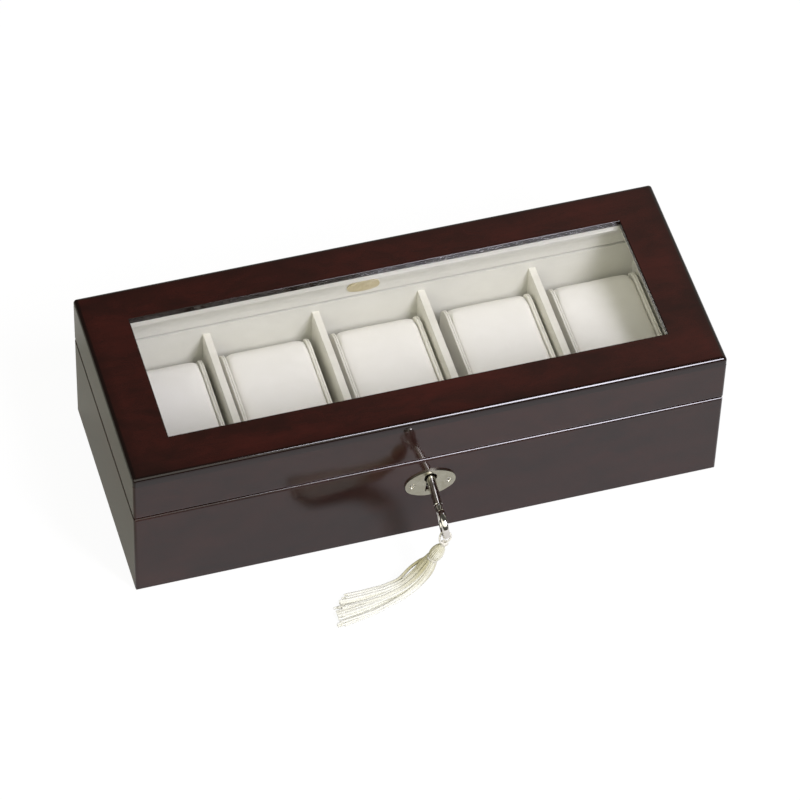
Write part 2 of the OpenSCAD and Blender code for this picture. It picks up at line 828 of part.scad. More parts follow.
// The key along -Y from the lock plate, before it leans
module straight_key() {
    tip_y = lock_y + key_tip - key_y;
    bit_y = lock_y + bit_front - key_y;
    rod_y(0, 0, -shank_out, tip_y, shank_r);
    rod_y(0, 0, -shank_out - collar_t, -shank_out, collar_r);
    rod_y(0, 0, -bow_out + bow_r - bow_bar / 2, -shank_out - collar_t / 2, neck_r);
    block([-bit_t / 2, bit_y, -bit_reach], [bit_t / 2, bit_y + bit_len, 0]);
    translate([0, -bow_out, 0]) rotate([0, 90, 0]) rotate_extrude()
        translate([bow_r - bow_bar, -bow_t / 2]) bar_section();
}

// Section of the ring bow's bar, with its corners rounded
module bar_section() {
    r = min(bar_round, bow_bar / 2 - 0.05);
    translate([0, r]) square([bow_bar, bow_t - 2 * r]);
    translate([r, 0]) square([bow_bar - 2 * r, bow_t]);
    for (x = [r, bow_bar - r], z = [r, bow_t - r]) translate([x, z]) circle(r = r);
}

module key() {
    color("#c9c7c2") translate([lock_x, key_y, key_z])
        rotate([key_droop, 0, -key_yaw]) rotate([0, -key_roll, 0]) straight_key();
}

// Puts the tassel's points in front of the lock, on the ground
module from_lock() {
    translate([lock_x, key_y, 0]) children();
}

module tassel_cord() {
    plane = [0, 0.75, -0.65];
    count = len(cord_route);
    points = [for (i = [0 : count - 1])
        let (along = tangent(cord_route, i), across = unit(cross(along, plane)))
        each ring_points(cord_route[i], along, across, cord_r, cord_r, cord_sides)];
    color("#e6dfbe") from_lock() polyhedron(points = points, faces = tube_faces(count, cord_sides),
        convexity = 4);
}

module tassel_head() {
    color("#e2dbb8") from_lock() {
        translate(head_top) sphere(r = head_top_r);
        translate(head_low) sphere(r = head_low_r);
    }
}

module tassel_skirt() {
    count = len(skirt_route);
    points = [for (i = [0 : count - 1])
        let (along = tangent(skirt_route, i), across = unit(cross(along, [0, 0, 1])))
        each ring_points(skirt_route[i], along, across, skirt_half_w[i], skirt_half_h[i],
            skirt_sides)];
    color("#ebe6cc") from_lock() polyhedron(points = points, faces = tube_faces(count, skirt_sides),
        convexity = 4);
}

// One hinge's leaf: a plate between z0 and z1 on the rim, and its knuckles round the pin
module leaf(z0, z1, rows) {
    difference() {
        union() {
            block([-hinge_len / 2, leaf_y1 - leaf_w, z0], [hinge_len / 2, leaf_y1, z1]);
            for (row = rows) {
                x0 = -hinge_len / 2 + row * knuckle_pitch + knuckle_gap / 2;
                x1 = x0 + knuckle_pitch - knuckle_gap;
                block([x0, leaf_y1 - past, z0], [x1, barrel_y, z1]);
                translate([x0, barrel_y, seam_z]) rotate([0, 90, 0])
                    cylinder(h = x1 - x0, r = barrel_r);
            }
        }
        translate([0, barrel_y, seam_z]) rotate([0, 90, 0])
            cylinder(h = hinge_len + 2 * past, r = pin_r + pin_play, center = true);
    }
}

module hinge_base_leaves() {
    color("#b9b7b0") difference() {
        for (side = [-1, 1]) translate([side * hinge_x, 0, 0])
            leaf(rim_z - leaf_t, rim_z, [0, 2, 4]);
        at_hinge_screws(rim_z, 0) countersunk(screw_len, screw_play);
    }
}

module hinge_lid_leaves() {
    color("#b9b7b0") difference() {
        for (side = [-1, 1]) translate([side * hinge_x, 0, 0])
            leaf(lid_z, lid_z + leaf_t, [1, 3]);
        at_hinge_screws(lid_z, 180) countersunk(screw_len, screw_play);
    }
}

module hinge_pins() {
    color("#cfcdc6") for (side = [-1, 1]) translate([side * hinge_x, barrel_y, seam_z]) {
        rotate([0, 90, 0]) cylinder(h = hinge_len + pin_head_t, r = pin_r, center = true);
        for (end = [-1, 1]) translate([end * (hinge_len + pin_head_t) / 2, 0, 0])
            rotate([0, 90, 0]) cylinder(h = pin_head_t, r = pin_head_r, center = true);
    }
}

module hinge_base_screws() {
    color("#b5b5ae") at_hinge_screws(rim_z, 0) recessed_screw(screw_len);
}

module hinge_lid_screws() {
    color("#b5b5ae") at_hinge_screws(lid_z, 180) recessed_screw(screw_len);
}

base_front_board();
base_back_board();
base_left_board();
base_right_board();
base_panel();
base_felt();
floor_lining();
base_front_lining();
base_back_lining();
base_left_lining();
base_right_lining();
divider_1();
divider_2();
divider_3();
divider_4();
pillow_1();
pillow_2();
pillow_3();
pillow_4();
pillow_5();
pillow_ends_1();
pillow_ends_2();
pillow_ends_3();
pillow_ends_4();
pillow_ends_5();
lid_front_board();
lid_back_board();
lid_left_board();
lid_right_board();
lid_frame();
glass_pane();
glass_strip_front();
glass_strip_back();
glass_strip_left();
glass_strip_right();
lid_front_lining();
lid_back_lining();
lid_left_lining();
lid_right_lining();
badge();
lock_plate();
lock_plate_screws();
lock_case();
lock_cover();
lock_screws();
lock_drum();
lock_bolt();
strike_plate();
strike_screws();
key();
tassel_cord();
tassel_head();
tassel_skirt();
hinge_base_leaves();
hinge_lid_leaves();
hinge_pins();
hinge_base_screws();
hinge_lid_screws();
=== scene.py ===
import json
import math
import random
import bpy
import bmesh
from mathutils import Matrix, Vector, noise

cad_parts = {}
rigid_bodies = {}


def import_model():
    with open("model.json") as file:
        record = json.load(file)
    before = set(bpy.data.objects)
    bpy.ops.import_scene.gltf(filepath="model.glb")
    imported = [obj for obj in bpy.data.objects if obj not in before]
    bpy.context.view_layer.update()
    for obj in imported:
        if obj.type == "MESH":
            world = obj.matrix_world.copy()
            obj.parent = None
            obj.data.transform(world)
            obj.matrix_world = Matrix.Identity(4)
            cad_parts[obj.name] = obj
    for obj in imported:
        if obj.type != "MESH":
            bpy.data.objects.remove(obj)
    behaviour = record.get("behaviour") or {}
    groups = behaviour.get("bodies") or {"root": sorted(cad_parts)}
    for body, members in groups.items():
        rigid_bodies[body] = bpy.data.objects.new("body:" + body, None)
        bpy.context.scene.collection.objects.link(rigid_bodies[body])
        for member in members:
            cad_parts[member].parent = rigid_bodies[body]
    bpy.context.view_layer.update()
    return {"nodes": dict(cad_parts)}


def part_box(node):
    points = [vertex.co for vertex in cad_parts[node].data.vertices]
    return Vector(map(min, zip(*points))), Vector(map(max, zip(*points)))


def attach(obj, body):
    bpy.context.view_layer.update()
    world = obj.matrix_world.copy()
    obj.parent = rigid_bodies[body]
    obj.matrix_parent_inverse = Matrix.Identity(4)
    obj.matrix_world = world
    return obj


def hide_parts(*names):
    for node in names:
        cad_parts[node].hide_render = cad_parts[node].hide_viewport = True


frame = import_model()
nodes = frame["nodes"]
scene = bpy.context.scene
mm = 0.001


# Sizes of the box that the looks depend on, in metres
rail_side = 0.025
rail_front = 0.0245
rail_back = 0.022
window_arris = 0.0005
lid_top_round = 0.0025
upright_round = 0.0015
glass_lap = 0.0049
strand_radius = 0.00072
cord_radius = 0.0006


def linear(hex_colour):
    """A colour written as on a paint card, as the shader wants it."""
    out = []
    for place in (0, 2, 4):
        value = int(hex_colour[place:place + 2], 16) / 255
        out.append(value / 12.92 if value <= 0.04045 else ((value + 0.055) / 1.055) ** 2.4)
    return (*out, 1.0)


# Camera

def place_camera():
    """The camera stands at the photograph's angle, with a long lens."""
    azimuth = math.radians(-17.897)
    elevation = math.radians(49.759)
    roll = math.radians(2.182)
    distance = 2.5229
    aim = Vector((-0.00147, -0.01036, 0.045))
    forward = Vector((-math.sin(azimuth) * math.cos(elevation),
                      math.cos(azimuth) * math.cos(elevation), -math.sin(elevation)))
    right = forward.cross(Vector((0, 0, 1))).normalized()
    up = right.cross(forward)
    turned_right = right * math.cos(roll) + up * math.sin(roll)
    turned_up = up * math.cos(roll) - right * math.sin(roll)
    data = bpy.data.cameras.new("camera")
    data.lens = 214.35
    data.sensor_width = 36
    data.clip_end = 50
    camera = bpy.data.objects.new("camera", data)
    turn = Matrix((turned_right, turned_up, -forward)).transposed().to_4x4()
    camera.matrix_world = Matrix.Translation(aim - forward * distance) @ turn
    scene.collection.objects.link(camera)
    scene.camera = camera


place_camera()


# Shader tools

def put(tree, kind, inputs=None, **settings):
    """Adds a node, sets its settings, and fills its inputs with values or other nodes' outputs."""
    made = tree.nodes.new(kind)
    for name, value in settings.items():
        setattr(made, name, value)
    for name, value in (inputs or {}).items():
        socket = made.inputs[name]
        if isinstance(value, bpy.types.NodeSocket):
            tree.links.new(value, socket)
        else:
            socket.default_value = value
    return made


def new_group(name, inputs, outputs):
    """An empty shader node group with named inputs and outputs."""
    group = bpy.data.node_groups.new(name, "ShaderNodeTree")
    for label, kind, value in inputs:
        socket = group.interface.new_socket(name=label, in_out="INPUT", socket_type=kind)
        if value is not None:
            socket.default_value = value
    for label, kind in outputs:
        group.interface.new_socket(name=label, in_out="OUTPUT", socket_type=kind)
    return group, group.nodes.new("NodeGroupInput"), group.nodes.new("NodeGroupOutput")


def math_node(tree, operation, a, b=0.5):
    return put(tree, "ShaderNodeMath", {0: a, 1: b}, operation=operation).outputs[0]


def product(tree, a, b):
    return math_node(tree, "MULTIPLY", a, b)


def mix_colour(tree, amount, a, b, blend="MIX"):
    """Goes from colour a to colour b as the amount goes from 0 to 1."""
    made = put(tree, "ShaderNodeMix", data_type="RGBA", blend_type=blend)
    for index, value in ((0, amount), (6, a), (7, b)):
        if isinstance(value, bpy.types.NodeSocket):
            tree.links.new(value, made.inputs[index])
        else:
            made.inputs[index].default_value = value
    return made.outputs[2]


def spread(tree, value, low, high, to_low, to_high):
    """Maps a value from one range onto another, and holds it there."""
    made = put(tree, "ShaderNodeMapRange", {0: value, 1: low, 2: high, 3: to_low, 4: to_high})
    return made.outputs[0]


def stretched(tree, vector, scale):
    """The same place, scaled apart along each axis."""
    return put(tree, "ShaderNodeMapping", {"Vector": vector, "Scale": scale}).outputs[0]


def speckle(tree, vector, scale, detail=2.0, roughness=0.5, distortion=0.0):
    return put(tree, "ShaderNodeTexNoise", {
        "Vector": vector, "Scale": scale, "Detail": detail, "Roughness": roughness,
        "Distortion": distortion}).outputs[0]


def make_wood_figure():
    """Veneer seen through lacquer: soft clouds, faint streaks and short dark pores. The grain
    runs along the vector's X."""
    group, given, result = new_group("wood_figure", [
        ("Vector", "NodeSocketVector", None),
        ("Dark", "NodeSocketColor", linear("26100d")),
        ("Red", "NodeSocketColor", linear("4a1c15")),
        ("Pores", "NodeSocketFloat", 0.35),
        ("Edge", "NodeSocketFloat", 0.0),
        ("Edge Color", "NodeSocketColor", linear("120907")),
    ], [("Color", "NodeSocketColor"), ("Gloss", "NodeSocketFloat"),
        ("Height", "NodeSocketFloat")])
    vector = given.outputs["Vector"]
    clouds = speckle(group, stretched(group, vector, (11, 24, 24)), 1.0, 4.0, 0.6, 0.9)
    blotches = speckle(group, stretched(group, vector, (60, 95, 95)), 1.0, 3.0, 0.6, 0.8)
    streaks = speckle(group, stretched(group, vector, (22, 260, 260)), 1.0, 3.0, 0.55, 0.8)
    pores = speckle(group, stretched(group, vector, (240, 2300, 2300)), 1.0, 2.0, 0.6)
    body = math_node(group, "ADD", product(group, clouds, 0.62), product(group, blotches, 0.31))
    body = math_node(group, "ADD", body, product(group, streaks, 0.07))
    tone = spread(group, body, 0.38, 0.62, 0.0, 1.0)
    colour = mix_colour(group, tone, given.outputs["Dark"], given.outputs["Red"])
    pore_mask = spread(group, pores, 0.60, 0.74, 0.0, 1.0)
    depth = product(group, pore_mask, given.outputs["Pores"])
    colour = mix_colour(group, depth, colour, linear("140a08"))
    colour = mix_colour(group, given.outputs["Edge"], colour, given.outputs["Edge Color"])
    group.links.new(colour, result.inputs["Color"])
    smears = speckle(group, vector, 34.0, 3.0, 0.6, 0.4)
    group.links.new(smears, result.inputs["Gloss"])
    ripple = speckle(group, stretched(group, vector, (60, 110, 110)), 1.0, 1.0)
    group.links.new(ripple, result.inputs["Height"])
    return group


def make_suede_nap():
    """Fine suede cloth: short fibres, soft mottling and brush marks."""
    group, given, result = new_group("suede_nap", [
        ("Vector", "NodeSocketVector", None),
        ("Base", "NodeSocketColor", (0.7, 0.7, 0.65, 1)),
        ("Shade", "NodeSocketColor", (0.5, 0.5, 0.45, 1)),
        ("Mottling", "NodeSocketFloat", 0.5),
    ], [("Color", "NodeSocketColor"), ("Height", "NodeSocketFloat")])
    vector = given.outputs["Vector"]
    fibres = speckle(group, vector, 3200.0, 2.0, 0.7)
    mottle = speckle(group, vector, 210.0, 3.0, 0.6, 0.4)
    marks = speckle(group, stretched(group, vector, (38, 62, 62)), 1.0, 3.0, 0.6, 1.2)
    brushed = math_node(group, "ADD", product(group, mottle, 0.45), product(group, marks, 0.55))
    amount = product(group, spread(group, brushed, 0.38, 0.66, 0.0, 1.0),
                     given.outputs["Mottling"])
    colour = mix_colour(group, amount, given.outputs["Base"], given.outputs["Shade"])
    grit = spread(group, fibres, 0.25, 0.75, 0.93, 1.04)
    colour = mix_colour(group, 1.0, colour, put(group, "ShaderNodeCombineColor", {
        0: grit, 1: grit, 2: grit}).outputs[0], "MULTIPLY")
    group.links.new(colour, result.inputs["Color"])
    height = math_node(group, "ADD", product(group, fibres, 0.6), product(group, mottle, 0.4))
    group.links.new(height, result.inputs["Height"])
    return group


def make_brushed_metal():
    """Metal rubbed along one direction, with faint stains. The lines run along X."""
    group, given, result = new_group("brushed_metal", [
        ("Vector", "NodeSocketVector", None),
        ("Metal", "NodeSocketColor", (0.6, 0.6, 0.58, 1)),
        ("Stain", "NodeSocketColor", (0.4, 0.4, 0.36, 1)),
        ("Smooth", "NodeSocketFloat", 0.2),
        ("Rough", "NodeSocketFloat", 0.4),
    ], [("Color", "NodeSocketColor"), ("Roughness", "NodeSocketFloat"),
        ("Height", "NodeSocketFloat")])
    vector = given.outputs["Vector"]
    lines = speckle(group, stretched(group, vector, (260, 5200, 5200)), 1.0, 2.0, 0.6)
    stains = speckle(group, vector, 240.0, 3.0, 0.6, 0.5)
    amount = spread(group, stains, 0.45, 0.75, 0.0, 0.7)
    group.links.new(mix_colour(group, amount, given.outputs["Metal"], given.outputs["Stain"]),
                    result.inputs["Color"])
    blend = put(group, "ShaderNodeMix", {0: spread(group, lines, 0.3, 0.7, 0.0, 1.0),
                                         2: given.outputs["Smooth"],
                                         3: given.outputs["Rough"]}, data_type="FLOAT")
    group.links.new(blend.outputs[0], result.inputs["Roughness"])
    group.links.new(lines, result.inputs["Height"])
    return group


wood_figure = make_wood_figure()
suede_nap = make_suede_nap()
brushed_metal = make_brushed_metal()


def new_material(name):
    """A material with a bare Principled BSDF on its output."""
    material = bpy.data.materials.new(name)
    material.use_nodes = True
    tree = material.node_tree
    tree.nodes.clear()
    surface = tree.nodes.new("ShaderNodeBsdfPrincipled")
    output = tree.nodes.new("ShaderNodeOutputMaterial")
    tree.links.new(surface.outputs[0], output.inputs[0])
    return material, tree, surface


def on_object(tree, turn=(0, 0, 0), shift=(0, 0, 0)):
    """Object coordinates, shifted and turned onto a piece."""
    place = put(tree, "ShaderNodeTexCoord").outputs["Object"]
    return put(tree, "ShaderNodeMapping", {"Vector": place, "Location": shift,
                                           "Rotation": turn}).outputs[0]


def use_group(tree, group, inputs):
    """Places a shader group in a material, with its own values."""
    made = tree.nodes.new("ShaderNodeGroup")
    made.node_tree = group
    for name, value in inputs.items():
        if isinstance(value, bpy.types.NodeSocket):
            tree.links.new(value, made.inputs[name])
        else:
            made.inputs[name].default_value = value
    return made


def set_plain(surface, values):
    """Sets what is the same all over a surface on the shader's own sockets."""
    for name, value in values.items():
        surface.inputs[name].default_value = value


def bump(tree, surface, height, strength, distance):
    made = put(tree, "ShaderNodeBump", {"Strength": strength, "Distance": distance,
                                        "Height": height})
    tree.links.new(made.outputs[0], surface.inputs["Normal"])


def lacquered_wood(name, turn, shift, dark="1c0f0d", red="2e1713", pores=0.3, edges=False,
                   gloss=(0.05, 0.085)):
    """Dark mahogany veneer under clear gloss lacquer. The stain is darker on rounded edges."""
    material, tree, surface = new_material(name)
    inputs = {"Vector": on_object(tree, turn, shift), "Dark": linear(dark),
              "Red": linear(red), "Pores": pores}
    if edges:
        inputs["Edge"] = put(tree, "ShaderNodeAttribute",
                             attribute_name="edge_stain").outputs["Fac"]
    figure = use_group(tree, wood_figure, inputs)
    tree.links.new(figure.outputs["Color"], surface.inputs["Base Color"])
    tree.links.new(spread(tree, figure.outputs["Gloss"], 0.3, 0.7, *gloss),
                   surface.inputs["Roughness"])
    set_plain(surface, {"IOR": 1.46})
    bump(tree, surface, figure.outputs["Height"], 0.04, 0.0004)
    return material


def suede(name, base, shade, mottling=0.5, sheen=0.25, depth=0.35):
    """Pale suede cloth."""
    material, tree, surface = new_material(name)
    nap = use_group(tree, suede_nap, {"Vector": on_object(tree), "Base": linear(base),
                                      "Shade": linear(shade), "Mottling": mottling})
    tree.links.new(nap.outputs["Color"], surface.inputs["Base Color"])
    set_plain(surface, {"Roughness": 0.95, "Specular IOR Level": 0.15, "Sheen Weight": sheen,
                        "Sheen Roughness": 0.5})
    bump(tree, surface, nap.outputs["Height"], depth, 0.0002)
    return material


def metal(name, colour, stain, smooth, rough, turn=(0, 0, 0), depth=0.1):
    """Plated, turned or stamped metal."""
    material, tree, surface = new_material(name)
    lines = use_group(tree, brushed_metal, {
        "Vector": on_object(tree, turn), "Metal": linear(colour), "Stain": linear(stain),
        "Smooth": smooth, "Rough": rough})
    tree.links.new(lines.outputs["Color"], surface.inputs["Base Color"])
    tree.links.new(lines.outputs["Roughness"], surface.inputs["Roughness"])
    set_plain(surface, {"Metallic": 1.0})
    bump(tree, surface, lines.outputs["Height"], depth, 0.00003)
    return material


def felt():
    """Dark pressed felt under the base."""
    material, tree, surface = new_material("felt")
    place = on_object(tree)
    fluff = speckle(tree, place, 1500.0, 3.0, 0.7)
    clumps = speckle(tree, place, 160.0, 2.0, 0.5)
    tone = math_node(tree, "ADD", product(tree, fluff, 0.7), product(tree, clumps, 0.3))
    tree.links.new(mix_colour(tree, spread(tree, tone, 0.35, 0.65, 0.0, 1.0),
                              linear("171314"), linear("352c2d")), surface.inputs["Base Color"])
    set_plain(surface, {"Roughness": 1.0, "Sheen Weight": 0.4})
    bump(tree, surface, fluff, 0.6, 0.0003)
    return material


def clear_glass():
    """Float glass that lets the lamps through to the lining."""
    material, tree, surface = new_material("glass")
    set_plain(surface, {"Base Color": (0.995, 0.995, 0.992, 1), "Roughness": 0.0, "IOR": 1.45,
                        "Transmission Weight": 1.0})
    path = put(tree, "ShaderNodeLightPath")
    passing = math_node(tree, "MAXIMUM", path.outputs["Is Shadow Ray"],
                        path.outputs["Is Diffuse Ray"])
    through = put(tree, "ShaderNodeBsdfTransparent", {"Color": (0.99, 0.99, 0.988, 1)})
    both = put(tree, "ShaderNodeMixShader", {0: passing, 1: surface.outputs[0],
                                             2: through.outputs[0]})
    tree.links.new(both.outputs[0], tree.nodes["Material Output"].inputs[0])
    return material


def silk(name, bright, shaded, along_scale=700.0):
    """Ivory thread: its tint runs along each strand, from its own attribute, which holds painted
    shade and random dye between the bright and the painted shaded colour.
    """
    material, tree, surface = new_material(name)
    tint = put(tree, "ShaderNodeAttribute", attribute_name="painted_shade_and_dye").outputs["Fac"]
    place = on_object(tree)
    fibres = speckle(tree, place, along_scale * 3, 2.0, 0.6)
    drift = speckle(tree, place, 90.0, 2.0, 0.5)
    tone = math_node(tree, "ADD", product(tree, tint, 0.85), product(tree, drift, 0.3))
    tree.links.new(mix_colour(tree, spread(tree, tone, 0.15, 0.95, 0.0, 1.0), linear(shaded),
                              linear(bright)), surface.inputs["Base Color"])
    set_plain(surface, {"Roughness": 0.6, "Sheen Weight": 0.3})
    bump(tree, surface, fibres, 0.05, 0.00005)
    return material


quarter = math.pi / 2
lid_wood = lacquered_wood("lacquer_lid_top", (0, 0, 0), (0.3, 0.1, 0), "28130f", "3b1813",
                          0.3, True)
long_wood = lacquered_wood("lacquer_long_boards", (0, 0, 0), (0.9, 0.4, 0.2),
                           gloss=(0.09, 0.125))
short_wood = lacquered_wood("lacquer_short_boards", (0, 0, quarter), (0.2, 0.7, 0.1))
plain_wood = lacquered_wood("base_panel_board", (0, 0, 0), (0, 0, 0), "5a3f2e", "7a5a44", 0.5)
lining_suede = suede("lining_suede", "e0dfd6", "d6d5cb", 0.5)
divider_suede = suede("divider_suede", "eae8dd", "dcd9cc", 0.6)
pillow_suede = suede("pillow_suede", "f1efe8", "e7e5dc", 0.45, 0.2, 0.2)
band_suede = suede("pillow_band_suede", "eeece2", "e2e0d5", 0.5, 0.2, 0.2)
plate_nickel = metal("plate_nickel", "a9a797", "96937f", 0.24, 0.38)
screw_nickel = metal("screw_nickel", "e4e2da", "c4c1b4", 0.08, 0.16)
key_nickel = metal("key_nickel", "dcd9d2", "c2beb3", 0.05, 0.1, (0, 0, quarter), 0.05)
shank_nickel = metal("shank_nickel", "cfccc4", "a8a498", 0.12, 0.2, (0, 0, quarter), 0.05)
hinge_nickel = metal("hinge_nickel", "c0bdb2", "a5a193", 0.2, 0.35)
lock_steel = metal("lock_steel", "8f8e88", "75726a", 0.3, 0.5)
lock_brass = metal("lock_brass", "c2a05a", "9a7b40", 0.2, 0.4, (quarter, 0, 0))
badge_brass = metal("badge_brass", "d2c8aa", "bcb08e", 0.4, 0.55)
base_felt = felt()
window_glass = clear_glass()
# The second colour is the silk's painted shaded tone
tassel_silk = silk("tassel_silk", "edede2", "a9a274")
cord_silk = silk("cord_silk", "e9e6da", "c9c3aa", 900.0)

finishes = {name: finish for finish, names in (
    (long_wood, "base_front_board base_back_board lid_front_board lid_back_board"),
    (short_wood, "base_left_board base_right_board lid_left_board lid_right_board"),
    (plain_wood, "base_panel"), (base_felt, "base_felt"), (window_glass, "glass_pane"),
    (badge_brass, "badge"), (plate_nickel, "lock_plate"),
    (screw_nickel, "lock_plate_screws lock_screws strike_screws"),
    (screw_nickel, "hinge_base_screws hinge_lid_screws"),
    (lock_steel, "lock_case lock_cover strike_plate"), (lock_brass, "lock_drum lock_bolt"),
    (hinge_nickel, "hinge_base_leaves hinge_lid_leaves hinge_pins"))
    for name in names.split()}
for name, node in nodes.items():
    finish = finishes.get(name, lining_suede)
    for place in node.material_slots:
        place.material = finish


def soften_edges(name, width):
    """A small rounding along the sharp edges of a stamped or wrapped piece."""
    for part in [item for item in scene.objects if item.name.startswith(name)]:
        round_off = part.modifiers.new("round_off", "BEVEL")
        round_off.width = width
        round_off.segments = 3
        round_off.limit_method = "ANGLE"
        round_off.angle_limit = math.radians(40)
        round_off.harden_normals = True


for name in ("lock_plate", "hinge_base_leaves", "hinge_lid_leaves"):
    soften_edges(name, 0.0002)
for side in ("front", "back", "left", "right"):
    soften_edges("base_%s_lining" % side, 0.0005)
    soften_edges("lid_%s_lining" % side, 0.0005)
    soften_edges("glass_strip_" + side, 0.0005)


# Mesh tools

def new_piece(name, points, faces, material):
    """A mesh object with its doubles merged and its faces turned outwards."""
    mesh = bpy.data.meshes.new(name)
    mesh.from_pydata([tuple(point) for point in points], [], faces)
    shape = bmesh.new()
    shape.from_mesh(mesh)
    bmesh.ops.remove_doubles(shape, verts=shape.verts, dist=1e-6)
    bmesh.ops.dissolve_degenerate(shape, edges=shape.edges, dist=1e-7)
    bmesh.ops.recalc_face_normals(shape, faces=shape.faces)
    for face in shape.faces:
        face.smooth = True
    shape.to_mesh(mesh)
    shape.free()
    mesh.materials.append(material)
    piece = bpy.data.objects.new(name, mesh)
    scene.collection.objects.link(piece)
    return piece


def crisp(piece, degrees=35):
    """Flat faces stay flat and rounded edges stay smooth."""
    piece.data.set_sharp_from_angle(angle=math.radians(degrees))
    keep = piece.modifiers.new("even_shading", "WEIGHTED_NORMAL")
    keep.keep_sharp = True


def apply_modifiers(piece):
    """Turns what a piece's modifiers make into its own plain mesh."""
    ready = piece.evaluated_get(bpy.context.evaluated_depsgraph_get())
    mesh = bpy.data.meshes.new_from_object(ready)
    piece.modifiers.clear()
    piece.data = mesh


def all_points(rings):
    return [point for ring in rings for point in ring]


def joined_rings(rings, loop=False):
    """Faces between rings of points, all of the same number, and over both ends. With loop, the
    last ring joins the first instead."""
    count = len(rings[0])
    faces = []
    steps = len(rings) if loop else len(rings) - 1
    for i in range(steps):
        a = i * count
        b = ((i + 1) % len(rings)) * count
        for k in range(count):
            n = (k + 1) % count
            faces.append((a + k, a + n, b + n, b + k))
    if not loop:
        faces.append(tuple(range(count))[::-1])
        last = (len(rings) - 1) * count
        faces.append(tuple(last + k for k in range(count)))
    return faces


def add_rings(points, faces, rings, loop=False):
    """Adds another closed body to a piece's points and faces."""
    start = len(points)
    points += all_points(rings)
    faces += [tuple(start + k for k in face) for face in joined_rings(rings, loop)]


# The lid's top frame, with rounded arrises

def lid_top_frame():
    """Four rails round the window, with a rabbet under them for the glass."""
    low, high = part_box("lid_frame")
    top = high.z
    glass_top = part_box("glass_pane")[1].z
    half_w = high.x
    half_d = high.y
    steps = 6
    corner_steps = 5
    outside, inside = "outside", "inside"
    stained = 0.006
    section = [(outside, 0.0, low.z), (outside, 0.0, top - lid_top_round)]
    for k in range(1, steps + 1):
        a = quarter * k / steps
        section.append((outside, lid_top_round * (1 - math.cos(a)),
                        top - lid_top_round + lid_top_round * math.sin(a)))
    section.append((outside, lid_top_round + stained, top))
    for k in range(steps + 1):
        a = quarter * k / steps
        section.append((inside, window_arris * (1 - math.sin(a)),
                        top - window_arris * (1 - math.cos(a))))
    section += [(inside, 0.0, glass_top), (inside, glass_lap, glass_top),
                (inside, glass_lap, low.z)]
    corners = [(1, 1, 0), (-1, 1, 1), (-1, -1, 2), (1, -1, 3)]
    rings = []
    for kind, inset, z in section:
        ring = []
        for sx, sy, turn in corners:
            for k in range(corner_steps + 1):
                if kind == outside:
                    share = max(0.0, 1 - inset / lid_top_round)
                    r = upright_round * share + 0.0002
                    a = quarter * (turn + k / corner_steps)
                    x = sx * (half_w - inset - r) + r * math.cos(a)
                    y = sy * (half_d - inset - r) + r * math.sin(a)
                else:
                    x = sx * (half_w - rail_side + inset)
                    y = (half_d - rail_back + inset) if sy > 0 else (
                        -half_d + rail_front - inset)
                ring.append((x, y, z))
        rings.append(ring)
    points = all_points(rings)
    piece = new_piece("lid_top_frame", points, joined_rings(rings, loop=True), lid_wood)
    stain = piece.data.attributes.new("edge_stain", "FLOAT", "POINT")
    for vertex in piece.data.vertices:
        inset = min(half_w - abs(vertex.co.x), half_d - abs(vertex.co.y))
        stain.data[vertex.index].value = 0.9 if inset < lid_top_round * 0.97 else (
            0.35 if inset < lid_top_round + stained * 0.5 else 0.0)
        if inset > 0.015 and vertex.co.z < top - 0.00001:
            stain.data[vertex.index].value = 0.9
    crisp(piece, 30)
    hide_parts("lid_frame")
    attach(piece, "lid")


lid_top_frame()


# Suede-wrapped dividers

def wrapped_divider(number):
    """Thin board wrapped in suede, so its top edges are soft and its faces a little uneven."""
    name = "divider_%d" % number
    low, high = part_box(name)
    middle = (low.x + high.x) / 2
    half = (high.x - low.x) / 2
    soft = 0.0004
    steps = 3
    outline = [(-half, low.z)]
    for k in range(1, 10):
        outline.append((-half, low.z + (high.z - soft - low.z) * k / 9))
    for k in range(1, steps + 1):
        a = quarter * k / steps
        outline.append((-half + soft * (1 - math.cos(a)),
                        high.z - soft + soft * math.sin(a)))
    outline += [(-x, z) for x, z in reversed(outline)]
    lengths = 44
    rings = []
    for i in range(lengths + 1):
        y = low.y + (high.y - low.y) * i / lengths
        ring = []
        for x, z in outline:
            lift = (z - low.z) / (high.z - low.z)
            uneven = noise.noise(Vector((number * 7.3, y * 60, z * 60 + x * 300)))
            wave = noise.noise(Vector((number * 3.1, y * 25, 0)))
            ring.append((middle + x * (1 + 0.05 * uneven) + 0.00012 * wave * lift, y,
                         z + (0.00015 * uneven if z > high.z - soft else 0)))
        rings.append(ring)
    piece = new_piece("wrapped_" + name, all_points(rings),
                      joined_rings(rings), divider_suede)
    crisp(piece, 50)
    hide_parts(name)
    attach(piece, "base")


for number in range(1, 5):
    wrapped_divider(number)


# Cuff pillows

def rounded_outline(half_y, low_z, high_z, radius, steps):
    """Outline of a pillow seen from its end, once round from a lower corner."""
    points = []
    centres = [(half_y - radius, low_z + radius, -1), (half_y - radius, high_z - radius, 0),
               (-half_y + radius, high_z - radius, 1), (-half_y + radius, low_z + radius, 2)]
    for y, z, turn in centres:
        for k in range(steps + 1):
            a = quarter * (turn + k / steps)
            points.append((y + radius * math.cos(a), z + radius * math.sin(a)))
    return points


